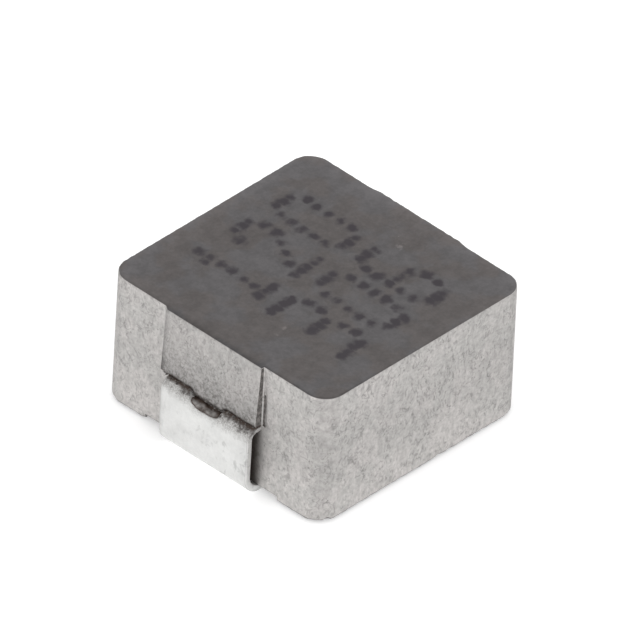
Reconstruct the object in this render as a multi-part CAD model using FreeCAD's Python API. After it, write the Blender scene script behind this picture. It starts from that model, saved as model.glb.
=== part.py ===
import FreeCAD, Part
import math
import os

from FreeCAD import Vector

# Moulded power inductor: a block of pressed iron powder round a flat-wire coil, with a bent strip
# terminal at each end. Millimetres. The origin is on the seating plane under the middle of the
# block, +X runs through both terminals and +Z points up. The near terminal is at -X.

# Block of pressed powder
body_length = 9.6
body_width = 10.0
body_height = 5.1
corner_radius = 0.8
top_edge_break = 0.05
standoff = 0.1

# Raised panel above each lead, left by the slot of the die that the strip lies in
slot_play = 0.36
panel_rise_at_top = 0.12
panel_rise_at_ledge = 0.30

# Witness groove of the die beside each panel
groove_land = 0.08
groove_width = 0.14
groove_depth = 0.10
groove_end_below_top = 0.6

# Pocket under each end of the block, which takes the foot
pocket_side_clearance = 1.05
pocket_corner_radius = 0.3
pocket_end_clearance = 0.35
foot_clearance = 0.01

# Terminal strip, bent down over a gap beside the block
strip_width = 4.0
strip_thickness = 0.25
strip_to_block = 0.4
top_bend_inside_radius = 0.2
bottom_bend_inside_radius = 0.55
foot_length = 2.3

# Hole in the strip that the powder locks into, half in and half out of the block
lock_hole_diameter = 1.4
lock_hole_inset = 0.05
lock_hole_margin = 0.05
lock_plug_recess = 0.1

# Tongue inside the block, from the strip to the end of the coil
tongue_width = 2.0
tongue_bend_inside_radius = 0.2
tongue_to_coil = 0.25
tongue_end_overhang = 0.15

# Coil of flat wire wound on edge
wire_width = 1.2
wire_thickness = 0.4
turn_gap = 0.03
coil_turns = 5
weld_margin = 0.05

# Worked out from the sizes above. The letter u is a distance from the middle along X.
half_length = body_length / 2
half_width = body_width / 2
half_strip = strip_thickness / 2
top_z = standoff + body_height
exit_z = standoff + body_height / 2
ledge_z = exit_z + half_strip
panel_width = strip_width + slot_play
strip_shift = -slot_play / 2
outer_face_u = half_length + strip_to_block + strip_thickness
bend_start_u = outer_face_u - strip_thickness - top_bend_inside_radius
lock_hole_u = half_length - lock_hole_inset
shoulder_u = lock_hole_u - lock_hole_diameter / 2 - lock_hole_margin
riser_u = shoulder_u - tongue_bend_inside_radius - half_strip
coil_outer_radius = riser_u - half_strip - tongue_to_coil
coil_inner_radius = coil_outer_radius - wire_width
flat_half_chord = tongue_width / 2 - strip_shift + weld_margin
flat_half_angle = math.degrees(math.asin(flat_half_chord / coil_inner_radius))
flat_share = 2 * flat_half_angle / 360
coil_pitch = (wire_thickness + turn_gap) / (1 - flat_share)
coil_rise = coil_pitch * (coil_turns - 0.5 - flat_share)
coil_bottom_z = exit_z - (coil_rise + wire_thickness) / 2
coil_top_z = coil_bottom_z + coil_rise + wire_thickness


def box(low, high):
    """A block from its lowest to its highest corner."""
    size = high - low
    return Part.makeBox(size.x, size.y, size.z, low)


def polygon_prism(points, y_low, y_high):
    """A prism along Y whose outline is given as (x, z) points."""
    corners = [Vector(x, y_low, z) for x, z in points]
    outline = Part.makePolygon(corners + corners[:1])
    return Part.Face(outline).extrude(Vector(0, y_high - y_low, 0))


def vertical_edges(shape):
    """Edges that run straight along Z."""
    found = []
    for edge in shape.Edges:
        first, last = edge.Vertexes[0].Point, edge.Vertexes[-1].Point
        if abs(first.x - last.x) < 1e-6 and abs(first.y - last.y) < 1e-6:
            found.append(edge)
    return found


def edges_at_height(shape, height):
    """Edges that lie wholly in the level plane at this height."""
    found = []
    for edge in shape.Edges:
        if abs(edge.BoundBox.ZMin - height) < 1e-6 and abs(edge.BoundBox.ZMax - height) < 1e-6:
            found.append(edge)
    return found


def bent_section(start, heading, steps):
    """Side view of a bent strip as a face in the XZ plane.

    The strip's middle line starts at a point (u, z) and heads off at an angle in degrees. A step is
    ("run", length) or ("bend", degrees, inside radius), and a positive bend turns anticlockwise.
    """
    u, z = start
    angle = math.radians(heading)
    sides = {1: [], -1: []}

    def offset_point(side):
        across = side * half_strip
        return Vector(u - across * math.sin(angle), 0, z + across * math.cos(angle))

    start_edge = Part.makeLine(offset_point(1), offset_point(-1))
    for step in steps:
        before = {side: offset_point(side) for side in sides}
        if step[0] == "run":
            u += step[1] * math.cos(angle)
            z += step[1] * math.sin(angle)
            for side in sides:
                sides[side].append(Part.makeLine(before[side], offset_point(side)))
            continue
        turn = math.radians(step[1])
        way = math.copysign(1, turn)
        middle_radius = step[2] + half_strip
        to_centre = way * middle_radius
        centre = Vector(u - to_centre * math.sin(angle), 0, z + to_centre * math.cos(angle))
        for side in sides:
            radius = middle_radius - way * side * half_strip
            points = []
            for part_of_turn in (0, 0.5, 1):
                at = angle + turn * part_of_turn
                points.append(centre + Vector(way * radius * math.sin(at), 0, -way * radius * math.cos(at)))
            sides[side].append(Part.Arc(*points).toShape())
        angle += turn
        u = centre.x + to_centre * math.sin(angle)
        z = centre.z - to_centre * math.cos(angle)
    end_edge = Part.makeLine(offset_point(1), offset_point(-1))
    outline = Part.__sortEdges__(sides[1] + sides[-1] + [start_edge, end_edge])
    return Part.Face(Part.Wire(outline))


def strip_y(width):
    """Lowest and highest Y of a band of this width along the strip's middle."""
    return strip_shift - width / 2, strip_shift + width / 2


def lock_hole():
    """The punched hole: round through the flat of the strip, then on round its bend."""
    radius = lock_hole_diameter / 2
    below = Vector(lock_hole_u, strip_shift, exit_z - strip_thickness)
    around = Part.makeCylinder(radius, 2 * strip_thickness, below)
    flat_side = box(
        Vector(lock_hole_u - 2 * radius, strip_shift - 2 * radius, exit_z - strip_thickness),
        Vector(bend_start_u, strip_shift + 2 * radius, exit_z + strip_thickness),
    )
    hole = around.common(flat_side)
    overrun = lock_hole_u + radius - bend_start_u
    if overrun <= 0:
        return hole
    middle_radius = top_bend_inside_radius + half_strip
    outside_radius = top_bend_inside_radius + strip_thickness
    bend_angle = min(overrun / middle_radius, math.pi / 2)
    past_bend = overrun - bend_angle * middle_radius
    low_z = ledge_z - outside_radius * (1 - math.cos(bend_angle)) - past_bend
    half_chord = math.sqrt(radius ** 2 - (radius - overrun) ** 2)
    left = Vector(bend_start_u, strip_shift - half_chord, ledge_z)
    right = Vector(bend_start_u, strip_shift + half_chord, ledge_z)
    lowest = Vector(bend_start_u, strip_shift, low_z)
    outline = Part.Wire([Part.Arc(left, lowest, right).toShape(), Part.makeLine(right, left)])
    return hole.fuse(Part.Face(outline).extrude(Vector(2 * outside_radius, 0, 0)))


def bend_core(outside_radius):
    """Quarter ring inside the top bend, from its inner face out to this radius."""
    y_low, y_high = strip_y(strip_width)
    centre = Vector(bend_start_u, y_low, ledge_z - top_bend_inside_radius - strip_thickness)
    along_y = Vector(0, 1, 0)
    quarter = box(centre, centre + Vector(2 * outside_radius, y_high - y_low, 2 * outside_radius))
    ring = Part.makeCylinder(outside_radius, y_high - y_low, centre, along_y)
    ring = ring.cut(Part.makeCylinder(top_bend_inside_radius, y_high - y_low, centre, along_y))
    return ring.common(quarter)


def lock_plug():
    """Powder that fills the lock hole, sunk a little below the outside of the bend."""
    y_low, y_high = strip_y(strip_width)
    flat = box(Vector(lock_hole_u, y_low, exit_z - half_strip), Vector(bend_start_u, y_high, ledge_z))
    bend = bend_core(top_bend_inside_radius + strip_thickness - lock_plug_recess)
    return lock_hole().common(flat.fuse(bend))


def terminal(tab_z, tab_way):
    """A terminal at the +X end, with its tab at this height; tab_way is 1 where the tab is above."""
    tab_u = coil_inner_radius - tongue_end_overhang
    outer_u = outer_face_u - half_strip
    tongue_turn = tongue_bend_inside_radius + half_strip
    top_turn = top_bend_inside_radius + half_strip
    bottom_turn = bottom_bend_inside_radius + half_strip
    steps = [
        ("run", riser_u - tongue_turn - tab_u),
        ("bend", -90 * tab_way, tongue_bend_inside_radius),
        ("run", abs(tab_z - exit_z) - 2 * tongue_turn),
        ("bend", 90 * tab_way, tongue_bend_inside_radius),
        ("run", outer_u - top_turn - riser_u - tongue_turn),
        ("bend", -90, top_bend_inside_radius),
        ("run", exit_z - top_turn - half_strip - bottom_turn),
        ("bend", -90, bottom_bend_inside_radius),
        ("run", foot_length - half_strip - bottom_turn),
    ]
    y_low, y_high = strip_y(strip_width)
    section = bent_section((tab_u, tab_z), 0, steps)
    section.translate(Vector(0, y_low, 0))
    strip = section.extrude(Vector(0, strip_width, 0))
    tongue_low, tongue_high = strip_y(tongue_width)
    lowest_z = min(tab_z, exit_z) - strip_thickness
    highest_z = max(tab_z, exit_z) + strip_thickness
    for low, high in ((y_low, tongue_low), (tongue_high, y_high)):
        strip = strip.cut(box(Vector(0, low, lowest_z), Vector(shoulder_u, high, highest_z)))
    return strip.cut(lock_hole()).removeSplitter()


def wire_section(angle, z):
    """Cut face of the flat wire at an angle round the coil's axis, with its underside at z."""
    corners = [
        Vector(coil_inner_radius, 0, z),
        Vector(coil_outer_radius, 0, z),
        Vector(coil_outer_radius, 0, z + wire_thickness),
        Vector(coil_inner_radius, 0, z + wire_thickness),
    ]
    outline = Part.makePolygon(corners + corners[:1])
    outline.rotate(Vector(0, 0, 0), Vector(0, 0, 1), angle)
    return outline


def flat_turn_end(middle_angle, z):
    """Level end of the coil, flattened so that the tongue can be welded to it."""
    face = Part.Face(wire_section(middle_angle - flat_half_angle, z))
    return face.revolve(Vector(0, 0, 0), Vector(0, 0, 1), 2 * flat_half_angle)


def make_coil():
    """Flat wire on edge: a level end at -X, the turns, and a level end at +X."""
    start_angle = 180 + flat_half_angle
    middle_radius = (coil_inner_radius + coil_outer_radius) / 2
    helix = Part.makeHelix(coil_pitch, coil_rise, middle_radius)
    helix.translate(Vector(0, 0, coil_bottom_z))
    helix.rotate(Vector(0, 0, 0), Vector(0, 0, 1), start_angle)
    sweep = Part.BRepOffsetAPI.MakePipeShell(Part.Wire(helix.Edges))
    sweep.setBiNormalMode(Vector(0, 0, 1))
    sweep.add(wire_section(start_angle, coil_bottom_z))
    sweep.build()
    sweep.makeSolid()
    turns = sweep.shape()
    first_end = flat_turn_end(180, coil_bottom_z)
    last_end = flat_turn_end(0, coil_bottom_z + coil_rise)
    return turns.fuse([first_end, last_end]).removeSplitter()


def make_block():
    """Plain block with rounded corners."""
    plan = Part.makeBox(body_length, body_width, body_height, Vector(-half_length, -half_width, standoff))
    return plan.makeFillet(corner_radius, vertical_edges(plan))


def panel():
    """Raised panel above the lead: it leans outwards from the top edge down to its ledge."""
    outline = [
        (half_length - corner_radius, ledge_z),
        (half_length + panel_rise_at_ledge, ledge_z),
        (half_length + panel_rise_at_top, top_z),
        (half_length - corner_radius, top_z),
    ]
    return polygon_prism(outline, -panel_width / 2, panel_width / 2)


def witness_groove(side):
    """Tapered groove beside a panel, deepest at the ledge; side is -1 or 1 along Y."""
    outline = [
        (half_length + panel_rise_at_ledge, ledge_z),
        (half_length - groove_depth, ledge_z),
        (half_length, top_z - groove_end_below_top),
        (half_length + panel_rise_at_ledge, top_z - groove_end_below_top),
    ]
    near_y = panel_width / 2 + groove_land
    far_y = near_y + groove_width
    return polygon_prism(outline, min(side * near_y, side * far_y), max(side * near_y, side * far_y))


def foot_pocket():
    """Shallow pocket that takes the foot, deep enough for the bend where it passes the edge."""
    reach = max(bottom_bend_inside_radius - strip_to_block, 0)
    bend_rise = bottom_bend_inside_radius - math.sqrt(bottom_bend_inside_radius ** 2 - reach ** 2)
    ceiling_z = strip_thickness + bend_rise + foot_clearance
    inner_u = outer_face_u - foot_length - pocket_end_clearance
    outer_u = half_length + 2 * pocket_corner_radius
    half_pocket = strip_width / 2 + pocket_side_clearance
    pocket = box(Vector(inner_u, -half_pocket, 0), Vector(outer_u, half_pocket, ceiling_z))
    return pocket.makeFillet(pocket_corner_radius, vertical_edges(pocket))


def mirrored(shape):
    """The same shape at the other end of the block."""
    return shape.mirror(Vector(0, 0, 0), Vector(1, 0, 0))


def both_ends(shape):
    return [shape, mirrored(shape)]


def make_body(inside):
    """The powder block, with room for the coil and the terminals that it is pressed round."""
    block = make_block().fuse(both_ends(panel())).removeSplitter()
    block = block.makeChamfer(top_edge_break, edges_at_height(block, top_z))
    block = block.fuse(both_ends(lock_plug()))
    recesses = both_ends(foot_pocket()) + both_ends(witness_groove(-1)) + both_ends(witness_groove(1))
    for recess in recesses:
        block = block.cut(recess)
    for piece in inside:
        block = block.cut(piece)
    return block.removeSplitter()


def save(name, shape):
    """Check that a node is one sound solid and write it."""
    if len(shape.Solids) != 1 or not shape.isValid():
        raise ValueError(name + " is not one sound solid")
    shape.Solids[0].exportStep("parts/" + name + ".step")
    print(name, round(shape.Volume, 4), "mm3")


os.makedirs("parts", exist_ok=True)

coil = make_coil()
near_terminal = mirrored(terminal(coil_bottom_z - half_strip, -1))
far_terminal = terminal(coil_top_z + half_strip, 1)
powder_body = make_body([coil, near_terminal, far_terminal])

save("powder_body", powder_body)
save("coil", coil)
save("near_terminal", near_terminal)
save("far_terminal", far_terminal)
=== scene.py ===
import math
import random

import bmesh
import bpy
import numpy as np
from mathutils import Matrix, Vector, noise


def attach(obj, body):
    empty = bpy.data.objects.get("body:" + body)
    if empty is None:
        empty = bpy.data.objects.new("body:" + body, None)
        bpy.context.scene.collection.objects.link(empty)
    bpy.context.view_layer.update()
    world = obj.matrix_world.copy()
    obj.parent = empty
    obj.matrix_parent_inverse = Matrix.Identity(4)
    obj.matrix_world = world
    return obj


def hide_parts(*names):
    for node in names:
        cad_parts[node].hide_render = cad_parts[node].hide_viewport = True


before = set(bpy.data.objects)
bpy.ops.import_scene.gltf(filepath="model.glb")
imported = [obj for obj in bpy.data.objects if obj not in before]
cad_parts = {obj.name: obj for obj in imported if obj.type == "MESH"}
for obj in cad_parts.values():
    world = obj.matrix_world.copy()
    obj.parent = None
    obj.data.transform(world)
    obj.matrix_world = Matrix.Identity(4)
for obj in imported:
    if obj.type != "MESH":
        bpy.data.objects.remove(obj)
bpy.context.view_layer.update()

# Moulded power inductor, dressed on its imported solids. Sizes and places are in millimetres and are
# turned into metres as each mesh is made.
MM = 0.001

# Block of pressed powder
body_length = 9.6
body_width = 10.0
body_low = 0.1
body_top = 5.2
corner_radius = 0.8
top_edge_break = 0.03
bottom_edge_break = 0.02
half_length = body_length / 2
half_width = body_width / 2
straight_half_length = half_length - corner_radius
straight_half_width = half_width - corner_radius

# Pocket under each end
pocket_half_width = 3.05
pocket_inner_x = 2.8
pocket_ceiling = 0.281

# Terminal strip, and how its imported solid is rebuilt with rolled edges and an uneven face
strip_thickness = 0.25
strip_width = 4.0
strip_middle_y = -0.18
bend_start_x = 5.0
bend_centre_z = 2.325
bend_radius = 0.45
strip_voxel = 0.035
strip_smoothing = 4
strip_weld = 1e-4
strip_inset = 0.016
strip_wave = 0.012
strip_ripple = 0.004
strip_even_below = 0.3
strip_low_y = strip_middle_y - strip_width / 2
strip_high_y = strip_middle_y + strip_width / 2
neutral_radius = bend_radius - strip_thickness / 2

# Lock hole, drawn out of round in the bend
lock_hole_x = 4.75
lock_hole_radius = 0.7
hole_stretch = 0.30
stretch_fades_y = 0.60
stretch_ends_y = 1.75
hole_lean = 0.28
hole_lean_y = -0.70
hole_lean_reach = 0.45
lean_fades_z = 2.42
lean_ends_z = 2.70
hole_low_y = strip_middle_y - lock_hole_radius
hole_high_y = strip_middle_y + lock_hole_radius
stretched_middle_y = strip_middle_y + hole_stretch / 2

# Panel above each lead, the groove beside it, and the lip over the lock hole
panel_half_width = 2.18
near_rise_at_top = 0.12
far_rise_at_top = 0.065
panel_rise_at_ledge = 0.28
sloped_side = 0.19
far_side_slope = 0.35
far_side_fade = 0.4
groove_land = 0.07
groove_width = 0.13
groove_width_at_top = 0.04
groove_depth = 0.10
groove_top = 4.6
lip_drop = 0.15
lip_bulge = 0.04
lip_full_reach = 0.60
lip_reach = 0.80
ledge_z = bend_centre_z + bend_radius

# Powder in each lock hole, with angles from the strip's flat in radians
plug_rows = 16
plug_columns = 30
plug_recess = 0.1
plug_least_recess = 0.012
plug_recess_under_lip = 0.08
plug_under_lip = (0.42, 0.85)
plug_rise_share = 0.55
plug_rise = (0.7, 1.2)
plug_lumps = 0.05
plug_grit = 0.03
plug_overlap = 0.02
plug_back_radius = 0.16

# Crumbs at the strip's exit
crumb_count = 110
crumb_least = 0.012
crumb_most = 0.034
crumb_growth = 1.5
crumb_hole_reach = 0.75
crumb_first_angle = 0.12
crumb_spread = 0.30

# Wear of the block: depths and reaches of pits, worn edges, chips and the crumbled ledge
pit_depth = 0.004
edge_wear = 0.012
edge_wear_swing = 0.014
top_wear_reach = 0.06
bottom_wear_reach = 0.08
chip_depth_share = 0.6
ledge_reach = 0.12
crumble_depth = 0.03
slow_droop = 0.015
quick_droop = 0.03
most_droop = 0.03
most_lift = 0.05
lip_swing = 0.03

# Small chips at the edges: place and reach
chips = (
    ((-4.34, -4.93, body_low), 0.13),
    ((-half_length, 3.05, body_low), 0.10),
    ((half_length, -3.60, body_low), 0.14),
    ((0.40, half_width, body_low), 0.12),
    ((0.90, -half_width, body_low), 0.09),
    ((-3.10, -half_width, body_top), 0.09),
    ((1.70, -half_width, body_top), 0.10),
    ((4.20, -4.80, body_top), 0.08),
    ((-half_length, -3.20, body_top), 0.07),
    ((2.30, half_width, body_top), 0.05),
    ((4.86, 1.20, body_top), 0.06),
)

# Faint rubbed spots on the top: place and reach
rub_marks = (
    ((-3.42, -1.22, body_top), 0.30),
    ((-2.80, -1.25, body_top), 0.22),
    ((3.20, -0.75, body_top), 0.32),
    ((1.10, 3.90, body_top), 0.25),
)

# Tone of the powder, much of it painted shade and painted highlight: shares that shades and hazes take off
# and glows and highlights add, and how far they reach
corner_shade = 0.13
panel_shade = 0.10
low_panel_shade = 0.25
panel_side_shade = 0.16
low_panel_side_shade = 0.24
panel_side_haze = 0.06
panel_side_reach = 0.09
panel_haze_reach = 0.4
far_wall_shade = 0.035
far_shade_starts_x = 1.5
far_shade_full_x = 4.0
near_rim_shade = 0.45
front_rim_shade = 0.12
rim_reach = 0.10
far_rim_highlight = 0.32
far_rim_highlight_reach = 0.28
far_top_glow = 0.05

# Painted shade, tinted brown, on the block's end behind the strip, and grey residue where the strip comes
# out of the block
gap_shade_strength = 0.88
gap_shade_starts_y = -2.44
gap_shade_full_y = -1.82
gap_shade_fades_y = 1.8
gap_shade_ends_y = 2.0
gap_shade_fade = 0.05
dust_starts_z = 2.14
dust_full_z = 2.58
caking_starts_z = 2.54
caking_full_z = 2.70

# Depths and slack by which the block's faces are told apart, and where a groove's floor darkens with
# painted shade
end_depth = 0.2
groove_zone = 0.4
slack = 0.02
skin = 0.03
groove_shade_from_z = 2.9
groove_shade_full_z = 3.6

# Spacing of the points on the block, and a number that counts as none
mesh_step = 0.078
tiny = 1e-6

# Marking: plain digits in dots of ink, on the top face
digit_shapes = {
    "0": (".###.", "#...#", "#...#", "#...#", "#...#", "#...#", ".###."),
    "1": ("..#..", ".##..", "..#..", "..#..", "..#..", "..#..", ".###."),
    "2": (".###.", "#...#", "....#", "...#.", "..#..", ".#...", "#####"),
    "3": ("####.", "....#", "....#", ".###.", "....#", "....#", "####."),
    "6": (".###.", "#....", "#....", "####.", "#...#", "#...#", ".###."),
}
marking_rows = (("120", 2.115, 0.50), ("306", -1.87, 0.53))
digit_columns = (-1.85, 0.14, 2.10)
dot_column_pitch = 0.31
dot_reach = 0.345
dot_jitter = 0.03
dot_sizes = (0.90, 1.18)
dot_strengths = (0.64, 1.0)
marking_span = 8.4
marking_step = 0.045
marking_lift = 0.003

# Colours as linear values
side_warm = (0.474, 0.455, 0.443)
side_cool = (0.467, 0.453, 0.440)
top_brown = (0.1130, 0.1025, 0.1003)
top_grey = (0.1070, 0.1020, 0.1045)
raw_powder = (0.118, 0.108, 0.102)
# Dark brown for painted shade behind the strip, along and under the ledge and in the lock hole, partly
# also dark residue there
shade_and_stain_brown = (0.054, 0.037, 0.029)
ink_colour = (0.048, 0.042, 0.048)
tin_colour = (0.665, 0.665, 0.655)
residue_grey = (0.32, 0.31, 0.30)
residue_dark = (0.095, 0.087, 0.082)
copper_colour = (0.62, 0.25, 0.12)

# Camera: the photograph's parallel view, from the terminal end and above
image_width = 640
pixels_per_mm = 30.2788
camera_yaw = math.radians(-47.735)
camera_elevation = math.radians(37.592)
camera_roll = math.radians(3.031)
aim_right = 0.2848
aim_up = 2.6138
camera_distance = 60.0
camera_near = 1.0
camera_far = 1000.0

# Studio
floor_reach = 2000.0
floor_gap = 0.002
floor_white = 0.86
floor_glow = 0.36
dome_strength = 0.92

# Lamps: name, place, size and power in watts
lamps = (
    ("left_box", (-78, -14, 24), 50, 0.0135),
    ("right_box", (-8, -78, 26), 50, 0.0084),
    ("low_box", (0, 0, -200), 300, 0.3),
)

random.seed(11)


def new_object(name, verts, faces, material):
    """A smooth-shaded object from points in millimetres."""
    mesh = bpy.data.meshes.new(name)
    mesh.from_pydata([(x * MM, y * MM, z * MM) for x, y, z in verts], [], faces)
    mesh.update()
    mesh.shade_smooth()
    mesh.materials.append(material)
    piece = bpy.data.objects.new(name, mesh)
    bpy.context.scene.collection.objects.link(piece)
    return piece


def add_attribute(piece, name, values, domain="POINT"):
    """One number for each point or face of a piece."""
    layer = piece.data.attributes.new(name, "FLOAT", domain)
    layer.data.foreach_set("value", np.asarray(values, dtype=np.float32))


def noise_at(points, scale, offset=0.0):
    """Smooth noise, about -1 to 1, at each point."""
    shift = Vector((offset, offset, offset))
    return np.array([noise.noise(Vector(point) * scale + shift) for point in points])


def smooth_step(values, low, high):
    """0 up to the low value, and 1 from the high value on."""
    share = np.clip((values - low) / (high - low), 0, 1)
    return share * share * (3 - 2 * share)


def falling(values, low, high):
    """1 up to the low value, and 0 from the high value on."""
    return smooth_step(-values, -high, -low)


def with_hole_drawn(y, z):
    """Places across the strip, moved as its lock hole was drawn out of round in the bend."""
    stretched = hole_stretch * smooth_step(y, hole_low_y, hole_high_y)
    stretched = stretched * falling(y, stretch_fades_y, stretch_ends_y)
    leaning = hole_lean * np.exp(-((y - hole_lean_y) / hole_lean_reach) ** 2)
    return y + stretched - leaning * falling(z, lean_fades_z, lean_ends_z)


def on_bend(side, reach, angle, y):
    """The point at this reach from the middle of a strip's upper bend, at an angle from upright."""
    x = bend_start_x + reach * math.sin(angle)
    return side * x, y, bend_centre_z + reach * math.cos(angle)


def cell_corners(grid):
    """The four corners of every cell of a grid, each corner as a grid of its own."""
    return [grid[:-1, :-1], grid[1:, :-1], grid[1:, 1:], grid[:-1, 1:]]


def make_camera():
    """A parallel camera at the place and turn that fit the photograph."""
    back = Vector((
        math.sin(camera_yaw) * math.cos(camera_elevation),
        -math.cos(camera_yaw) * math.cos(camera_elevation),
        math.sin(camera_elevation),
    ))
    level_right = Vector((math.cos(camera_yaw), math.sin(camera_yaw), 0))
    level_up = back.cross(level_right)
    right = level_right * math.cos(camera_roll) + level_up * math.sin(camera_roll)
    up = level_up * math.cos(camera_roll) - level_right * math.sin(camera_roll)
    place = right * aim_right + up * aim_up + back * camera_distance + Vector((0, 0, body_low))
    data = bpy.data.cameras.new("camera")
    data.type = "ORTHO"
    data.ortho_scale = image_width / pixels_per_mm * MM
    data.clip_start = camera_near * MM
    data.clip_end = camera_far * MM
    camera = bpy.data.objects.new("camera", data)
    bpy.context.scene.collection.objects.link(camera)
    camera.matrix_world = Matrix((
        (right.x, up.x, back.x, place.x * MM),
        (right.y, up.y, back.y, place.y * MM),
        (right.z, up.z, back.z, place.z * MM),
        (0, 0, 0, 1),
    ))
    bpy.context.scene.camera = camera


def put(tree, socket, value):
    """Link a value that is another node's output, or set a constant."""
    if isinstance(value, bpy.types.NodeSocket):
        tree.links.new(value, socket)
    elif socket.type == "RGBA":
        socket.default_value = (*value, 1.0)
    else:
        socket.default_value = value


def maths(tree, kind, first, second=0.0):
    """The result of a Math node on two numbers or outputs."""
    node = tree.nodes.new("ShaderNodeMath")
    node.operation = kind
    put(tree, node.inputs[0], first)
    put(tree, node.inputs[1], second)
    return node.outputs["Value"]


class Shader:
    """A material's node tree, with short calls for the nodes that the finishes use."""

    def __init__(self, name):
        self.material = bpy.data.materials.new(name)
        self.material.use_nodes = True
        self.tree = self.material.node_tree
        self.tree.nodes.clear()
        output = self.tree.nodes.new("ShaderNodeOutputMaterial")
        self.surface = self.tree.nodes.new("ShaderNodeBsdfPrincipled")
        self.tree.links.new(self.surface.outputs["BSDF"], output.inputs["Surface"])
        coordinates = self.tree.nodes.new("ShaderNodeTexCoord")
        self.place = self.scale(coordinates.outputs["Object"], 1 / MM)
        self.normal = coordinates.outputs["Normal"]

    def put(self, socket, value):
        put(self.tree, socket, value)

    def finish(self, name, value):
        """Set one input of the surface by its name."""
        self.put(self.surface.inputs[name], value)

    def scale(self, vector, factor):
        """A vector or a colour times a number."""
        node = self.tree.nodes.new("ShaderNodeVectorMath")
        node.operation = "SCALE"
        self.put(node.inputs["Vector"], vector)
        self.put(node.inputs["Scale"], factor)
        return node.outputs["Vector"]

    def stretched(self, factors):
        """The place with its axes scaled apart, so that a pattern is drawn out along one of them."""
        node = self.tree.nodes.new("ShaderNodeVectorMath")
        node.operation = "MULTIPLY"
        self.put(node.inputs[0], self.place)
        self.put(node.inputs[1], factors)
        return node.outputs["Vector"]

    def noise(self, scale, detail=2.0, roughness=0.5, place=None, swirl=0.0):
        """Cloudy noise, mostly between 0.3 and 0.7."""
        node = self.tree.nodes.new("ShaderNodeTexNoise")
        self.put(node.inputs["Vector"], place or self.place)
        self.put(node.inputs["Scale"], scale)
        self.put(node.inputs["Detail"], detail)
        self.put(node.inputs["Roughness"], roughness)
        self.put(node.inputs["Distortion"], swirl)
        return node.outputs["Fac"]

    def specks(self, scale, size, share):
        """Small round spots, 1 in the middle and 0 outside, in this share of the cells."""
        node = self.tree.nodes.new("ShaderNodeTexVoronoi")
        self.put(node.inputs["Vector"], self.place)
        self.put(node.inputs["Scale"], scale)
        spot = self.remap(node.outputs["Distance"], size * scale, size * scale * 0.4)
        parts = self.tree.nodes.new("ShaderNodeSeparateColor")
        self.put(parts.inputs["Color"], node.outputs["Color"])
        chosen = self.maths("LESS_THAN", parts.outputs["Red"], share)
        return self.maths("MULTIPLY", spot, chosen)

    def near(self, place, reach):
        """1 at a place, falling to 0 at this distance from it."""
        node = self.tree.nodes.new("ShaderNodeVectorMath")
        node.operation = "DISTANCE"
        self.put(node.inputs[0], self.place)
        self.put(node.inputs[1], place)
        return self.remap(node.outputs["Value"], reach, reach * 0.3)

    def maths(self, kind, first, second=0.0):
        return maths(self.tree, kind, first, second)

    def product(self, *values):
        """All the values multiplied together."""
        result = values[0]
        for value in values[1:]:
            result = self.maths("MULTIPLY", result, value)
        return result

    def remap(self, value, from_low, from_high, to_low=0.0, to_high=1.0):
        """The value moved from one range to another, smoothly and never past the new range's ends."""
        node = self.tree.nodes.new("ShaderNodeMapRange")
        node.interpolation_type = "SMOOTHSTEP"
        self.put(node.inputs["Value"], value)
        self.put(node.inputs["From Min"], from_low)
        self.put(node.inputs["From Max"], from_high)
        self.put(node.inputs["To Min"], to_low)
        self.put(node.inputs["To Max"], to_high)
        return node.outputs["Result"]

    def mix(self, factor, first, second):
        """A blend of two colours."""
        node = self.tree.nodes.new("ShaderNodeMix")
        node.data_type = "RGBA"
        sockets = {socket.identifier: socket for socket in node.inputs}
        self.put(sockets["Factor_Float"], factor)
        self.put(sockets["A_Color"], first)
        self.put(sockets["B_Color"], second)
        return {socket.identifier: socket for socket in node.outputs}["Result_Color"]

    def between(self, factor, first, second):
        """A blend of two numbers."""
        node = self.tree.nodes.new("ShaderNodeMix")
        sockets = {socket.identifier: socket for socket in node.inputs}
        self.put(sockets["Factor_Float"], factor)
        self.put(sockets["A_Float"], first)
        self.put(sockets["B_Float"], second)
        return {socket.identifier: socket for socket in node.outputs}["Result_Float"]

    def attribute(self, name):
        """The number that a piece holds at each point or face under this name."""
        node = self.tree.nodes.new("ShaderNodeAttribute")
        node.attribute_name = name
        return node.outputs["Fac"]

    def part_of(self, vector, axis):
        """A vector's part along one axis."""
        node = self.tree.nodes.new("ShaderNodeSeparateXYZ")
        self.put(node.inputs["Vector"], vector)
        return node.outputs[axis]

    def along(self, axis):
        """Place along X, Y or Z in millimetres."""
        return self.part_of(self.place, axis)

    def sideways(self):
        """How far the surface faces across the block: 1 on its plain sides, 0 on its ends."""
        return self.maths("ABSOLUTE", self.part_of(self.normal, "Y"))

    def relief(self, height, depth, strength):
        """Bumps on the surface, with their depth in millimetres."""
        node = self.tree.nodes.new("ShaderNodeBump")
        self.put(node.inputs["Height"], height)
        self.put(node.inputs["Distance"], depth * MM)
        self.put(node.inputs["Strength"], strength)
        self.finish("Normal", node.outputs["Normal"])


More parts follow.
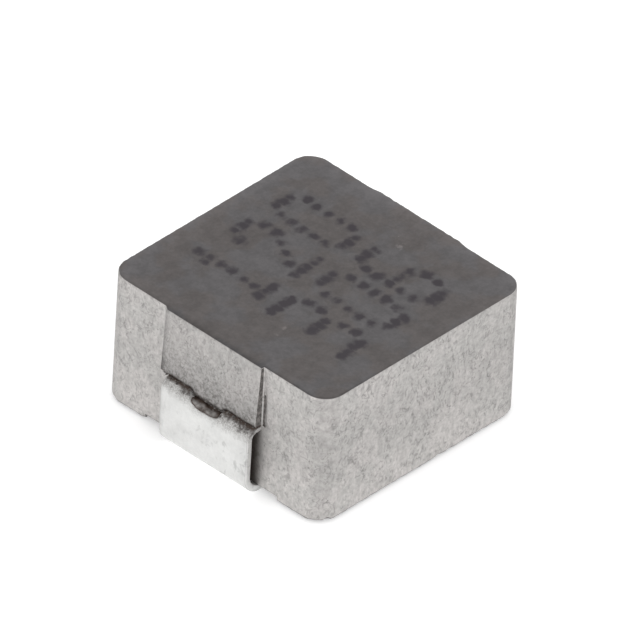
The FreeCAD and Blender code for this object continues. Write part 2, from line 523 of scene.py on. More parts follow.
def side_finish(shader):
    """Colour of powder that the die has burnished: grain, smears, specks and worm-like marks.

    The marks are stronger on the plain sides, which slide farther along the die.
    """
    upright = shader.stretched((1.0, 1.0, 0.6))
    grain = shader.noise(9.0, 3.0, 0.6)
    fine = shader.noise(19.0, 2.0, 0.6)
    smears = shader.noise(4.2, 2.0, 0.5, place=upright)
    patches = shader.noise(1.1, 2.0, 0.5)
    strokes = shader.noise(4.6, 0.0, 0.5, place=upright, swirl=2.2)
    clusters = shader.remap(shader.noise(1.3, 2.0), 0.38, 0.60, 0.2, 1.0)
    bands = shader.maths("SUBTRACT", shader.noise(2.6, 1.0, 0.5, swirl=1.6), 0.5)
    worms = shader.product(
        shader.remap(shader.maths("ABSOLUTE", bands), 0.040, 0.010),
        shader.remap(shader.noise(1.9), 0.44, 0.56),
    )
    plain = shader.remap(shader.sideways(), 0.5, 0.9)
    dark_strokes = shader.product(clusters, shader.remap(strokes, 0.42, 0.28))
    dark_specks = shader.product(clusters, shader.specks(4.6, 0.045, 0.45))
    height = shader.along("Z")
    tone = shader.product(
        shader.remap(grain, 0.30, 0.70, 0.91, 1.08),
        shader.remap(fine, 0.30, 0.70, 0.98, 1.02),
        shader.remap(smears, 0.30, 0.62, shader.between(plain, 0.90, 0.86), 1.04),
        shader.remap(patches, 0.30, 0.70, 0.965, 1.035),
        shader.remap(height, 0.4, 2.6, 1.05, shader.between(plain, 0.93, 0.905)),
        shader.remap(height, 3.0, 4.8, 1.0, shader.between(plain, 1.03, 1.055)),
        shader.remap(worms, 0.0, 1.0, 1.0, 0.76),
        shader.remap(dark_strokes, 0.0, 1.0, 1.0, shader.between(plain, 0.78, 0.74)),
        shader.remap(strokes, 0.58, 0.74, 1.0, 1.08),
        shader.remap(dark_specks, 0.0, 1.0, 1.0, 0.68),
        shader.remap(shader.specks(3.1, 0.040, 0.30), 0.0, 1.0, 1.0, 1.14),
        shader.attribute("shade"),
    )
    colour = shader.mix(shader.remap(patches, 0.42, 0.58), side_cool, side_warm)
    colour = shader.scale(colour, tone)
    scuffs = shader.product(shader.attribute("scuff"), shader.remap(grain, 0.50, 0.36), 0.75)
    return shader.mix(scuffs, colour, raw_powder), grain, fine


def top_finish(shader, grain):
    """Colour of the matte top, where only the punch touched the powder."""
    patches = shader.noise(0.8, 3.0, 0.5)
    clouds = shader.noise(2.6, 3.0, 0.6)
    worn_through = shader.remap(clouds, 0.46, 0.60)
    rubbed = [shader.product(shader.near(place, reach), worn_through) for place, reach in rub_marks]
    tone = shader.product(
        shader.remap(grain, 0.30, 0.70, 0.95, 1.05),
        shader.remap(clouds, 0.30, 0.70, 0.89, 1.09),
        shader.remap(patches, 0.30, 0.70, 0.93, 1.08),
        shader.remap(shader.specks(0.9, 0.022, 0.35), 0.0, 1.0, 1.0, 1.8),
        *[shader.remap(spot, 0.0, 1.0, 1.0, 1.45) for spot in rubbed],
        shader.attribute("shade"),
    )
    return shader.scale(shader.mix(shader.remap(patches, 0.42, 0.58), top_brown, top_grey), tone)


def powder_material(name, with_ink):
    """Pressed iron powder: burnished grey on the sides, matte and dark on top and where it broke, with
    painted shade in dark raw powder on narrow walls and hollows, and in dark brown behind the strip, at
    the ledge and in the lock hole.
    """
    shader = Shader(name)
    side = shader.remap(shader.attribute("side"), 0.35, 0.65)
    side_colour, grain, fine = side_finish(shader)
    top_colour = top_finish(shader, grain)
    if with_ink:
        blot = shader.noise(4.5, 2.0, 0.5)
        reach = shader.maths("ADD", shader.attribute("ink"), shader.remap(blot, 0.3, 0.7, -0.14, 0.14))
        top_colour = shader.mix(shader.remap(reach, 0.08, 0.66), top_colour, ink_colour)
    colour = shader.mix(side, top_colour, side_colour)
    # Raw powder on unburnished faces, also painted shade on the block's narrow walls and hollows
    raw_and_shade = shader.attribute("raw_and_shade")
    colour = shader.mix(raw_and_shade, colour, shader.scale(raw_powder, shader.remap(grain, 0.3, 0.7, 0.5, 1.5)))
    # Dark brown: painted shade behind the strip, painted shadow and dirt in the lock hole, and a ledge
    # line of painted shadow and residue
    colour = shader.mix(shader.attribute("shade_and_stain"), colour, shade_and_stain_brown)
    shader.finish("Base Color", colour)
    shine = shader.product(side, shader.maths("SUBTRACT", 1.0, raw_and_shade))
    shader.finish("Metallic", shader.product(shine, 0.4))
    shader.finish("Specular IOR Level", 0.25)
    shader.finish("Roughness", shader.between(shine, 0.75, shader.remap(grain, 0.3, 0.7, 0.55, 0.42)))
    shader.relief(shader.maths("ADD", grain, shader.product(fine, 0.25)), 0.010, 0.4)
    return shader.material


def tin_material():
    """Matte tin on the strip, grey and dark with powder where it comes out of the block, with a painted
    highlight on the cut faces, painted shade along their corners, on the rounded high-side edge and under
    the ledge, and a painted reflection of the floor low on the bend.
    """
    shader = Shader("tin_plating")
    cloud = shader.noise(1.3, 3.0, 0.55)
    grain = shader.noise(9.0, 3.0, 0.6)
    fine = shader.noise(24.0, 2.0, 0.5)
    smudges = shader.noise(2.2, 4.0, 0.6, swirl=0.8)
    to_low_side = shader.remap(shader.along("Y"), 1.2, -1.9)
    cut = shader.sideways()
    corner_line = shader.product(shader.remap(cut, 0.15, 0.4), shader.remap(cut, 0.85, 0.6))
    tone = shader.product(
        shader.remap(cloud, 0.3, 0.7, 0.925, 1.04),
        shader.remap(grain, 0.3, 0.7, 0.965, 1.02),
        shader.remap(smudges, 0.54, 0.68, 1.0, shader.between(to_low_side, 0.90, 0.76)),
        shader.remap(shader.specks(2.6, 0.06, 0.45), 0.0, 1.0, 1.0, 0.70),
        # Painted highlight on the cut faces, and painted shade along the rolled corners between them and
        # the face
        shader.remap(cut, 0.7, 0.95, 1.0, 1.16),
        shader.remap(corner_line, 0.0, 1.0, 1.0, 0.80),
        # Painted reflection of the floor, lighter low on the bend
        shader.remap(shader.along("Z"), 0.50, 0.15, 1.0, 1.08),
        # Painted shade on the rounded high-side edge; also darker towards the low edge
        shader.remap(shader.along("Y"), strip_high_y - 0.24, strip_high_y - 0.02, 1.0, 0.86),
        shader.remap(shader.along("Y"), strip_low_y + 0.33, strip_low_y + 0.08, 1.0, 0.95),
    )
    ragged = shader.product(shader.maths("SUBTRACT", shader.noise(2.6, 5.0, 0.75), 0.5), 0.95)
    lean = shader.remap(shader.along("Y"), 0.4, 1.9, 0.0, -0.17)
    height = shader.maths("ADD", shader.maths("ADD", shader.along("Z"), lean), ragged)
    dusty = shader.remap(height, dust_starts_z, dust_full_z)
    dusty = shader.product(dusty, shader.remap(fine, 0.62, 0.40, 0.40, 1.0))
    caked = shader.remap(height, caking_starts_z, caking_full_z)
    caked = shader.product(caked, shader.remap(grain, 0.68, 0.42, 0.35, 1.0))
    # Painted shadow under the ledge, partly dark residue, in dark brown
    at_ledge = shader.remap(shader.along("Z"), ledge_z - 0.095, ledge_z - 0.015)
    colour = shader.mix(dusty, shader.scale(tin_colour, tone), residue_grey)
    colour = shader.mix(caked, colour, residue_dark)
    colour = shader.mix(at_ledge, colour, shade_and_stain_brown)
    shader.finish("Base Color", colour)
    shader.finish("Metallic", shader.between(dusty, 0.7, 0.1))
    shader.finish("Roughness", shader.between(dusty, shader.remap(cloud, 0.3, 0.7, 0.38, 0.48), 0.75))
    shader.relief(shader.maths("ADD", shader.product(grain, 0.7), shader.product(fine, 0.3)), 0.01, 0.5)
    return shader.material


def copper_material():
    """Enamelled copper wire of the coil sealed in the block."""
    shader = Shader("enamelled_copper")
    cloud = shader.noise(2.0, 3.0, 0.5)
    shader.finish("Base Color", shader.scale(copper_colour, shader.remap(cloud, 0.3, 0.7, 0.85, 1.1)))
    shader.finish("Metallic", 0.9)
    shader.finish("Roughness", shader.remap(cloud, 0.3, 0.7, 0.25, 0.4))
    shader.finish("Coat Weight", 0.6)
    shader.relief(cloud, 0.005, 0.3)
    return shader.material


def lattice_lines(breaks, single=(), long_zone=None):
    """Grid lines between break values, doubled at each break that isn't single.

    Returns each line's value and the middle of the interval that it belongs to. A zone beyond
    long_zone is a corner, whose lines are as many as the arc needs.
    """
    values, middles = [], []
    for low, high in zip(breaks, breaks[1:]):
        length = high - low
        if long_zone and min(abs(low), abs(high)) >= long_zone:
            length = corner_radius * math.pi / 2
        line = np.linspace(low, high, math.ceil(length / mesh_step - tiny) + 1)
        if low in single:
            line = line[1:]
        values.extend(line)
        middles.extend([(low + high) / 2] * len(line))
    return np.array(values), np.array(middles)


def spaced_by_angle(lines):
    """The same lines, moved in the corner zones so that they step evenly round the arc."""
    share = np.clip((np.abs(lines) - straight_half_width) / corner_radius, 0, 1)
    arc = straight_half_width + corner_radius * np.sin(share * math.pi / 2)
    round_the_corner = np.sign(lines) * arc
    return np.where(share > 0, round_the_corner, lines)


def end_of_block(y):
    """Half the block's length at this y, which falls off round the corners."""
    over = np.clip(np.abs(y) - straight_half_width, 0, corner_radius)
    return straight_half_length + np.sqrt(corner_radius ** 2 - over ** 2)


def panel_rise(x, z):
    """How far a panel stands out of the block's end: most at its ledge and least at the top."""
    at_top = np.where(x < 0, near_rise_at_top, far_rise_at_top)
    share = (z - ledge_z) / (body_top - ledge_z)
    return panel_rise_at_ledge + (at_top - panel_rise_at_ledge) * share


def block_lattice():
    """The block's outside as one closed grid of quads, with panels, grooves and pockets."""
    groove_start = panel_half_width + groove_land
    groove_end = groove_start + groove_width
    straight = straight_half_width
    half_breaks = [panel_half_width, groove_start, groove_end, pocket_half_width, straight, half_width]
    y_breaks = [-value for value in reversed(half_breaks)] + half_breaks
    y_lines, y_middles = lattice_lines(y_breaks, (-straight, straight), straight)
    y_lines = spaced_by_angle(y_lines)
    x_lines, x_middles = lattice_lines([-half_length, -pocket_inner_x, pocket_inner_x, half_length])
    z_breaks = [body_low, pocket_ceiling, ledge_z, body_top]
    z_lines, z_middles = lattice_lines(z_breaks, (pocket_ceiling,))
    last_x, last_y, last_z = len(x_lines) - 1, len(y_lines) - 1, len(z_lines) - 1

    shell = np.zeros((last_x + 1, last_y + 1, last_z + 1), dtype=bool)
    shell[[0, last_x], :, :] = True
    shell[:, [0, last_y], :] = True
    shell[:, :, [0, last_z]] = True
    i, j, k = np.nonzero(shell)
    number = np.full(shell.shape, -1)
    number[i, j, k] = np.arange(len(i))

    x, y, z = x_lines[i], y_lines[j].copy(), z_lines[k].copy()
    at_end = (i == 0) | (i == last_x)
    above_ledge = z_middles[k] > ledge_z
    in_panel = (np.abs(y_middles[j]) < panel_half_width) & above_ledge
    in_groove = (np.abs(y_middles[j]) > groove_start) & (np.abs(y_middles[j]) < groove_end)
    in_groove &= above_ledge
    in_pocket = (np.abs(y_middles[j]) < pocket_half_width) & (np.abs(x_middles[i]) > pocket_inner_x)

    fade = np.clip((groove_top - z) / (groove_top - ledge_z), 0, 1)
    narrow = (groove_width_at_top + (groove_width - groove_width_at_top) * fade) / groove_width
    y = np.where(in_groove & at_end, np.sign(y) * (groove_start + (np.abs(y) - groove_start) * narrow), y)
    beside_slope = (i == 0) & (z > ledge_z - tiny) & (y > 0) & (y < pocket_half_width)
    beside_slope &= y_middles[j] > panel_half_width
    squeeze = (pocket_half_width - panel_half_width - sloped_side) / (pocket_half_width - panel_half_width)
    y = np.where(beside_slope, pocket_half_width - (pocket_half_width - y) * squeeze, y)
    end = end_of_block(y)
    beyond = np.maximum(np.abs(x) - pocket_inner_x, 0)
    stretch = (end - pocket_inner_x) / (half_length - pocket_inner_x)
    far_side = smooth_step(panel_half_width - np.abs(y), 0, far_side_slope)
    flattened = np.where(x > 0, smooth_step(z, groove_top - far_side_fade, body_top), 0)
    step = np.where(in_panel, panel_rise(x, z), 0) * (1 - flattened * (1 - far_side))
    step = step - np.where(in_groove & ~beside_slope, groove_depth * fade, 0)
    x = np.sign(x) * (np.minimum(np.abs(x), pocket_inner_x) + beyond * stretch + step * at_end)

    top, bottom = k == last_z, k == 0
    inset = np.where(top, top_edge_break, np.where(bottom, bottom_edge_break, 0))
    x = x * (1 - inset / end)
    y = y * (1 - inset / half_width)
    z = np.where(k == last_z - 1, body_top - top_edge_break, z)
    z = np.where(in_pocket, np.maximum(z, pocket_ceiling), z)

    faces = []
    for grid, flip in (
        (number[:, :, last_z], False),
        (number[:, :, 0], True),
        (number[:, 0, :], False),
        (number[:, last_y, :], True),
        (number[0, :, :], True),
        (number[last_x, :, :], False),
    ):
        corners = cell_corners(grid)
        if flip:
            corners.reverse()
        faces.extend(zip(*[corner.ravel().tolist() for corner in corners]))
    on_wall = ~(top | bottom)
    return joined(np.stack([x, y, z], axis=1), faces, on_wall, in_panel & on_wall & at_end)


def joined(points, faces, *marks):
    """The same mesh with points that coincide made one, and the faces that this empties left out."""
    _, first, place = np.unique(np.round(points, 5), axis=0, return_index=True, return_inverse=True)
    place = place.ravel().tolist()
    kept = []
    for face in faces:
        corners = list(dict.fromkeys(place[corner] for corner in face))
        if len(corners) > 2:
            kept.append(corners)
    return points[first], kept, *[mark[first] for mark in marks]


def depth_inside(points):
    """How far inside the block's plan each point lies; about 0 on the side walls."""
    over_x = np.abs(points[:, 0]) - straight_half_length
    over_y = np.abs(points[:, 1]) - straight_half_width
    outside = np.hypot(np.maximum(over_x, 0), np.maximum(over_y, 0))
    return np.maximum(corner_radius - outside - np.minimum(np.maximum(over_x, over_y), 0), 0)


def top_drop(points):
    """How far pits lower the top face."""
    return pit_depth + pit_depth * np.maximum(noise_at(points, 4.0) + 0.3, 0)


def roughened(points, on_panel):
    """Pits in the faces, worn and chipped edges, and a crumbled ledge with a lip over the lock hole."""
    plan = points * np.array([1, 1, 0])
    outward = plan / np.maximum(np.linalg.norm(plan, axis=1, keepdims=True), tiny)
    inside = depth_inside(points)
    below_top = body_top - points[:, 2]
    above_bottom = points[:, 2] - body_low
    wear = np.maximum(edge_wear + edge_wear_swing * noise_at(points, 6.0, 40.0), 0)
    top_wear = wear * np.exp(-(np.hypot(inside, below_top) / top_wear_reach) ** 2)
    bottom_wear = wear * np.exp(-(np.hypot(inside, above_bottom) / bottom_wear_reach) ** 2)
    pits = np.where(inside < slack, pit_depth * np.maximum(noise_at(points, 5.0) + 0.5, 0.1), 0)
    inwards = top_wear + bottom_wear + pits
    moved = points - outward * inwards[:, None]
    moved[:, 2] += bottom_wear - top_wear
    moved[:, 2] -= np.where(below_top < tiny, top_drop(points), 0)
    for place, reach in chips:
        away = np.linalg.norm(points - np.array(place), axis=1)
        bite = reach * chip_depth_share * np.clip(1 - away / reach, 0, 1)
        moved -= outward * bite[:, None]
        moved[:, 2] += bite * (1 if place[2] < body_top else -1)

    near_ledge = on_panel * np.exp(-((points[:, 2] - ledge_z) / ledge_reach) ** 2)
    crumble = np.clip(noise_at(points, 3.2, 90.0) + 0.2, 0, 1)
    moved[:, 0] -= np.sign(points[:, 0]) * near_ledge * crumble * crumble_depth
    droop = slow_droop * noise_at(points, 0.9, 7.0) + quick_droop * noise_at(points, 4.2, 3.0)
    moved[:, 2] += near_ledge * np.clip(droop, -most_droop, most_lift)
    lip = near_ledge * falling(np.abs(points[:, 1] - stretched_middle_y), lip_full_reach, lip_reach)
    moved[:, 2] -= lip * (lip_drop + lip_swing * noise_at(points, 4.0, 21.0))
    moved[:, 0] += np.sign(points[:, 0]) * lip * lip_bulge
    return moved


def shades(points, on_wall, on_panel):
    """Tone of the powder: darker low on the panels, partly a darker patch and partly painted shade on
    their downward-leaning faces, with painted shade along the panels' sides and on the rounded corners,
    and darker towards the far end.

    The top has painted shade at the rims of the near end and the front, broken up by noise, a painted
    highlight at the two far rims, and is paler towards the far corner.
    """
    x, y, z = points.T
    low_on_panel = np.clip((body_top - z) / (body_top - ledge_z), 0, 1) * on_panel
    over_x = np.clip(np.abs(x) - straight_half_length, 0, None)
    over_y = np.clip(np.abs(y) - straight_half_width, 0, None)
    # Painted shade on the rounded corners
    corner = 2 * over_x * over_y / corner_radius ** 2
    from_side = panel_half_width - y
    # Painted shade along the panels' sides
    at_side = on_panel * np.exp(-(from_side / panel_side_reach) ** 2)
    panel_side = at_side * (panel_side_shade + low_panel_side_shade * low_on_panel)
    panel_side += on_panel * np.exp(-(from_side / panel_haze_reach) ** 2) * panel_side_haze
    # Low on the panels: a darker patch, and painted shade on the downward-leaning faces
    panel = on_panel * (panel_shade + low_panel_shade * low_on_panel ** 2)
    wall_tone = 1 - corner_shade * corner - panel - panel_side
    wall_tone = wall_tone - far_wall_shade * smooth_step(x, far_shade_starts_x, far_shade_full_x)
    inside = depth_inside(points)
    outward = np.hypot(x, y) + tiny
    # Painted shade at the near and front rims of the top, and a painted highlight at the two far rims
    at_rim = np.exp(-(inside / rim_reach) ** 2)
    near_rim = np.clip(-x / outward - 0.3, 0, 0.5) * 2 * at_rim
    front_rim = np.clip(-y / outward - 0.3, 0, 0.5) * 2 * at_rim
    far_rim_highlight_share = np.clip(np.maximum(x, y) / outward - 0.3, 0, 0.4) * 2.5 * np.exp(-inside / far_rim_highlight_reach)
    broken = np.clip(0.8 + 0.7 * noise_at(points, 4.5, 33.0), 0, 1)
    dark_rim = (near_rim_shade * near_rim + front_rim_shade * front_rim) * broken
    top_tone = 1 - dark_rim + far_rim_highlight * far_rim_highlight_share
    top_tone = top_tone + far_top_glow * smooth_step(x + y, 0, 8)
    return np.where(on_wall, wall_tone, top_tone), low_on_panel ** 3


def painted_shade_and_stains(points, on_panel):
    """Painted shade on the block's end behind the strip, and a dark line along the panel's ledge that is
    partly painted shadow and partly residue.
    """
    x, y, z = points.T
    # Painted shade, tinted brown, in the gap behind the strip
    behind = gap_shade_strength * smooth_step(y, gap_shade_starts_y, gap_shade_full_y)
    behind = behind * falling(y, gap_shade_fades_y, gap_shade_ends_y) * falling(z, ledge_z, ledge_z + gap_shade_fade)
    # Dark line along the panel's ledge: painted shadow, partly dark residue
    ledge_line = on_panel * (z < ledge_z + slack / 2) * (0.65 + 0.35 * noise_at(points, 2.0, 60.0))
    return np.maximum(behind * (np.abs(x) > half_length - end_depth), ledge_line)


def raw_and_shaded_faces(piece):
    """Faces that no tool burnished, the panels' and grooves' walls, the ledges and the pockets, whose dark
    raw colour stands partly for unburnished powder and partly for painted shade in these narrow walls and
    hollows.
    """
    count = len(piece.data.polygons)
    centre, normal = np.empty(count * 3), np.empty(count * 3)
    piece.data.polygons.foreach_get("center", centre)
    piece.data.polygons.foreach_get("normal", normal)
    x, y, z = np.abs(centre.reshape(-1, 3) / MM).T
    across, upright = np.abs(normal.reshape(-1, 3)[:, 1]), np.abs(normal.reshape(-1, 3)[:, 2])
    near_end = (x > half_length - end_depth) & (y < panel_half_width + groove_zone)
    under_skin = x < half_length - skin
    wall = near_end & (across > 0.9) & (z > ledge_z - slack)
    ledge = near_end & (upright > 0.6) & (np.abs(z - ledge_z) < end_depth)
    pocket = (z > body_low + slack) & (z < pocket_ceiling + slack) & under_skin
    pocket &= y < pocket_half_width + slack
    groove_floor = near_end & (y > panel_half_width + groove_land) & under_skin
    groove_floor &= (z > ledge_z) & (z < groove_top)
    # Groove floor: darker upwards, painted shade in the narrowing groove
    deep = groove_floor * (0.3 + 0.7 * smooth_step(z, groove_shade_from_z, groove_shade_full_z))
    return np.maximum(wall | ledge | pocket, deep)


def make_block(material):
    """The block of powder as one closed mesh, with what its finish needs to know at each point."""
    points, faces, on_wall, on_panel = block_lattice()
    tone, scuff = shades(points, on_wall, on_panel)
    piece = new_object("pressed_block", roughened(points, on_panel), faces, material)
    add_attribute(piece, "side", on_wall)
    add_attribute(piece, "shade", tone)
    add_attribute(piece, "scuff", scuff)
    add_attribute(piece, "shade_and_stain", painted_shade_and_stains(points, on_panel))
    add_attribute(piece, "raw_and_shade", raw_and_shaded_faces(piece), "FACE")
    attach(piece, "root")
    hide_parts("powder_body")


def make_plug(side, name, material):
    """Rough powder in the lock hole, set back from the strip's face, with painted shadow at its rim and
    under the lip.
    """
    flat_length = bend_start_x - lock_hole_x
    farthest = (lock_hole_radius - flat_length) / neutral_radius
    outer, inner = [], []
    for row in range(plug_rows + 1):
        angle = farthest * row / plug_rows
        along = flat_length + angle * neutral_radius
        half_chord = math.sqrt(max(lock_hole_radius ** 2 - along ** 2, 0)) + plug_overlap
        under_lip = plug_recess_under_lip * (1 - smooth_step(angle, *plug_under_lip))
        recess = plug_recess * (1 - plug_rise_share * smooth_step(angle, *plug_rise)) + under_lip
        for column in range(plug_columns + 1):
            flat_y = strip_middle_y + half_chord * (2 * column / plug_columns - 1)
            place = Vector((angle * 0.35, flat_y, side)) * 7.0
            rough = plug_lumps * noise.noise(place) + plug_grit * noise.noise(place * 2.7)
            y = with_hole_drawn(flat_y, bend_centre_z + bend_radius * math.cos(angle))
            outer.append(on_bend(side, bend_radius - max(recess - rough, plug_least_recess), angle, y))
            inner.append(on_bend(side, plug_back_radius, angle, y))
    back = len(outer)
    grid = np.arange(back).reshape(plug_rows + 1, plug_columns + 1)
    faces = []
    for row in range(plug_rows):
        for column in range(plug_columns):
            a, b = grid[row, column:column + 2].tolist()
            d, c = grid[row + 1, column:column + 2].tolist()
            faces.append((a, b, c, d))
            faces.append((d + back, c + back, b + back, a + back))
    rim = np.concatenate([grid[0], grid[1:, -1], grid[-1, -2::-1], grid[-2:0:-1, 0]]).tolist()
    for first, second in zip(rim, rim[1:] + rim[:1]):
        faces.append((second, first, first + back, second + back))
    if side > 0:
        faces = [face[::-1] for face in faces]
    piece = new_object(name, outer + inner, faces, material)
    across = np.abs(np.linspace(-1, 1, plug_columns + 1))[None, :]
    down = np.linspace(0, 1, plug_rows + 1)[:, None]
    # Painted shadow along the hole's rim and under the lip; the noise below adds darker patches of dirt
    at_rim = smooth_step(np.maximum(across, down), 0.72, 1.0) * 0.8
    at_rim = at_rim + smooth_step(-down, -0.68, -0.36) * 0.95
    dirt_and_shadow = np.minimum(at_rim.ravel() + np.clip(noise_at(outer, 5.0, 17.0) - 0.05, 0, 0.5), 1)
    add_attribute(piece, "shade_and_stain", np.concatenate([dirt_and_shadow, np.ones(len(inner))]))
    add_attribute(piece, "raw_and_shade", np.clip(0.72 + 0.7 * noise_at(outer + inner, 4.0, 51.0), 0.35, 1))
    add_attribute(piece, "side", np.ones(len(outer) + len(inner)))
    add_attribute(piece, "shade", np.ones(len(outer) + len(inner)))
    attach(piece, "root")


def add_crumb(bm, place, radius):
    """A small angular lump of powder."""
    turn = Matrix.Rotation(random.uniform(0, 6.28), 4, Vector((random.random(), 0.5, random.random())))
    stretch = Matrix.Diagonal((random.uniform(0.8, 1.5), random.uniform(0.8, 1.5), 0.8, 1))
    lump = bmesh.ops.create_icosphere(
        bm, subdivisions=2, radius=radius, matrix=Matrix.Translation(place) @ turn @ stretch)
    for vert in lump["verts"]:
        away = vert.co - Vector(place)
        vert.co = Vector(place) + away * (1 + 0.45 * noise.noise(vert.co * (0.7 / radius)))


def make_crumbs(side, name, material):
    """Crumbs of powder on the strip's upper bend, against the ledge."""
    bm = bmesh.new()
    for _ in range(crumb_count):
        y = random.uniform(strip_low_y + 0.05, panel_half_width - 0.04)
        angle = abs(random.gauss(0, crumb_spread)) + crumb_first_angle
        radius = random.uniform(crumb_least, crumb_most)
        if y > strip_high_y:
            x = side * random.uniform(half_length + 0.04, bend_start_x)
            place = (x, y, ledge_z - random.uniform(0.02, 0.22))
            radius *= crumb_growth
        elif abs(y - stretched_middle_y) < crumb_hole_reach:
            place = on_bend(side, bend_radius - plug_recess + radius * 0.3, angle, y)
        else:
            place = on_bend(side, bend_radius - radius * 0.2, angle, y)
        add_crumb(bm, place, radius)
    bm.verts.index_update()
    verts = [tuple(vert.co) for vert in bm.verts]
    faces = [tuple(vert.index for vert in face.verts) for face in bm.faces]
    bm.free()
    piece = new_object(name, verts, faces, material)
    add_attribute(piece, "shade", np.ones(len(verts)))
    add_attribute(piece, "raw_and_shade", np.ones(len(verts)))
    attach(piece, "root")


def marking_dots():
    """Each dot's place, size and strength of ink."""
    dots = []
    for text, row_y, row_pitch in marking_rows:
        for digit, column_x in zip(text, digit_columns):
            for row, line in enumerate(digit_shapes[digit]):
                for column, mark in enumerate(line):
                    if mark == "#":
                        x = column_x + (column - 2) * dot_column_pitch
                        x += random.uniform(-dot_jitter, dot_jitter)
                        y = row_y + (3 - row) * row_pitch + random.uniform(-dot_jitter, dot_jitter)
                        dots.append((x, y, random.uniform(*dot_sizes), random.uniform(*dot_strengths)))
    return dots


def make_marking(material):
    """Ink as a thin skin of small squares over the dots; the ink fades towards each dot's rim."""
    count = int(marking_span / marking_step)
    lines = (np.arange(count + 1) - count / 2) * marking_step
    x, y = np.meshgrid(lines, lines, indexing="ij")
    ink = np.zeros(x.shape)
    for dot_x, dot_y, size, strength in marking_dots():
        away = np.hypot(x - dot_x, y - dot_y) / (dot_reach * size)
        ink = np.maximum(ink, (1 - away) * strength)
    inked = np.logical_or.reduce(cell_corners(ink > 0))
    needed = np.zeros(x.shape, dtype=bool)
    for corner in cell_corners(needed):
        corner |= inked
    number = np.full(x.shape, -1)
    number[needed] = np.arange(needed.sum())
    points = np.stack([x[needed], y[needed], np.full(needed.sum(), body_top)], axis=1)
    points[:, 2] -= top_drop(points) - marking_lift
    quads = np.stack([corner[inked] for corner in cell_corners(number)], axis=1)
    piece = new_object("marking", points, quads.tolist(), material)
    add_attribute(piece, "ink", ink[needed])
    add_attribute(piece, "shade", np.ones(len(points)))
    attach(piece, "root")


def remeshed(node, voxel, smoothing):
    """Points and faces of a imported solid, rebuilt evenly with softened edges, in millimetres."""
    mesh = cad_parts[node].data.copy()
    mesh.transform(Matrix.Scale(1 / MM, 4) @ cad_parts[node].matrix_world)
    bm = bmesh.new()
    bm.from_mesh(mesh)
    bmesh.ops.remove_doubles(bm, verts=bm.verts, dist=strip_weld)
    bm.to_mesh(mesh)
    bm.free()
    helper = bpy.data.objects.new("helper", mesh)
    bpy.context.scene.collection.objects.link(helper)
    remesh = helper.modifiers.new("remesh", "REMESH")
    remesh.mode = "VOXEL"
    remesh.voxel_size = voxel
    soften = helper.modifiers.new("soften", "SMOOTH")
    soften.factor = 0.5
    soften.iterations = smoothing
    shape = bpy.data.meshes.new_from_object(helper.evaluated_get(bpy.context.evaluated_depsgraph_get()))
    points = np.empty(len(shape.vertices) * 3)
    shape.vertices.foreach_get("co", points)
    faces = [tuple(polygon.vertices) for polygon in shape.polygons]
    bpy.data.objects.remove(helper)
    return points.reshape(-1, 3), faces


def make_strip(node, name, material):
    """The bent strip, with rolled edges and a slightly uneven face."""
    points, faces = remeshed(node, strip_voxel, strip_smoothing)
    uneven = strip_wave * noise_at(points, 0.8, 15.0) + strip_ripple * noise_at(points, 3.0, 5.0)
    points[:, 0] += np.sign(points[:, 0]) * (uneven - strip_inset)
    points[:, 1] = with_hole_drawn(points[:, 1], points[:, 2])
    points[:, 2] += np.where(points[:, 2] > strip_even_below, uneven, 0)
    piece = new_object(name, points, faces, material)
    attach(piece, "root")
    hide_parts(node)


def seen_directly(tree):
    """1 for what the camera sees, also in metal or through glass, and 0 for light on the object."""
    path = tree.nodes.new("ShaderNodeLightPath")
    seen = path.outputs["Is Camera Ray"]
    for ray in ("Is Glossy Ray", "Is Transmission Ray"):
        seen = maths(tree, "MAXIMUM", seen, path.outputs[ray])
    return seen, path


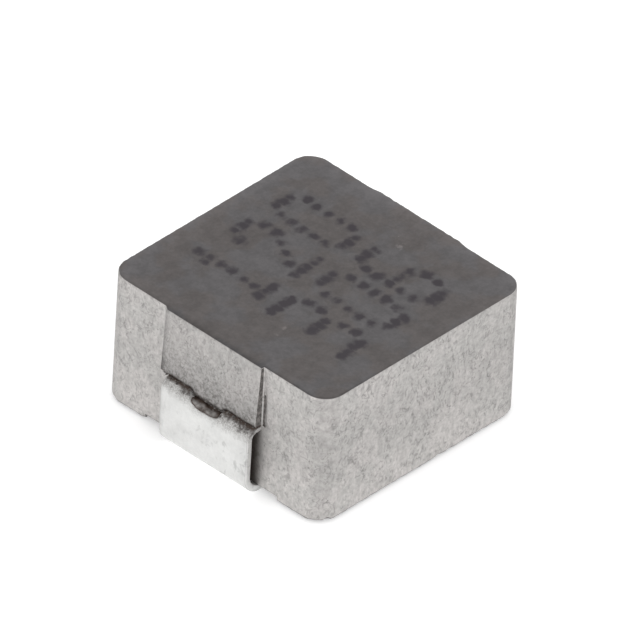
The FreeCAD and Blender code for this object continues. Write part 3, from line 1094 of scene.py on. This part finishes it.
def make_floor():
    """A pale floor, a little brighter to the camera, clear from below and to the lamp below."""
    material = bpy.data.materials.new("floor_white")
    material.use_nodes = True
    tree = material.node_tree
    tree.nodes.clear()
    output = tree.nodes.new("ShaderNodeOutputMaterial")
    matte = tree.nodes.new("ShaderNodeBsdfDiffuse")
    matte.inputs["Color"].default_value = (floor_white, floor_white, floor_white, 1)
    glow = tree.nodes.new("ShaderNodeEmission")
    clear = tree.nodes.new("ShaderNodeBsdfTransparent")
    facing = tree.nodes.new("ShaderNodeNewGeometry")
    both = tree.nodes.new("ShaderNodeAddShader")
    one_sided = tree.nodes.new("ShaderNodeMixShader")
    seen, path = seen_directly(tree)
    hidden = maths(tree, "MAXIMUM", facing.outputs["Backfacing"], path.outputs["Is Shadow Ray"])
    tree.links.new(maths(tree, "MULTIPLY", seen, floor_glow), glow.inputs["Strength"])
    tree.links.new(matte.outputs["BSDF"], both.inputs[0])
    tree.links.new(glow.outputs["Emission"], both.inputs[1])
    tree.links.new(hidden, one_sided.inputs["Fac"])
    tree.links.new(both.outputs["Shader"], one_sided.inputs[1])
    tree.links.new(clear.outputs["BSDF"], one_sided.inputs[2])
    tree.links.new(one_sided.outputs["Shader"], output.inputs["Surface"])
    reach = floor_reach
    plan = ((-reach, -reach), (reach, -reach), (reach, reach), (-reach, reach))
    corners = [(x, y, -floor_gap) for x, y in plan]
    new_object("floor", corners, [(0, 1, 2, 3)], material)


def make_world():
    """A pale dome above the floor, white where it is seen."""
    world = bpy.data.worlds.new("studio")
    bpy.context.scene.world = world
    world.use_nodes = True
    tree = world.node_tree
    background = tree.nodes["Background"]
    background.inputs["Color"].default_value = (1, 1, 1, 1)
    coordinates = tree.nodes.new("ShaderNodeTexCoord")
    direction = tree.nodes.new("ShaderNodeSeparateXYZ")
    tree.links.new(coordinates.outputs["Generated"], direction.inputs["Vector"])
    above_floor = maths(tree, "GREATER_THAN", direction.outputs["Z"], 0)
    dome = maths(tree, "MULTIPLY", above_floor, dome_strength)
    seen, _ = seen_directly(tree)
    tree.links.new(maths(tree, "MAXIMUM", dome, seen), background.inputs["Strength"])


def make_lamp(name, place, size, watts):
    """A round lamp that faces the middle of the part."""
    data = bpy.data.lights.new(name, "AREA")
    data.shape = "DISK"
    data.size = size * MM
    data.energy = watts
    lamp = bpy.data.objects.new(name, data)
    lamp.location = Vector(place) * MM
    lamp.rotation_euler = (-lamp.location).to_track_quat("-Z", "Y").to_euler()
    bpy.context.scene.collection.objects.link(lamp)


make_camera()
powder = powder_material("pressed_powder", False)
printed = powder_material("printed_powder", True)
tin = tin_material()

make_block(powder)
make_marking(printed)
for side, end in ((-1, "near"), (1, "far")):
    make_strip(end + "_terminal", end + "_strip", tin)
    make_plug(side, end + "_plug", powder)
    make_crumbs(side, end + "_crumbs", powder)

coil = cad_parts["coil"]
coil.data.materials.clear()
coil.data.materials.append(copper_material())

make_floor()
make_world()
for name, place, size, watts in lamps:
    make_lamp(name, place, size, watts)

bpy.context.scene.view_settings.view_transform = "Standard"
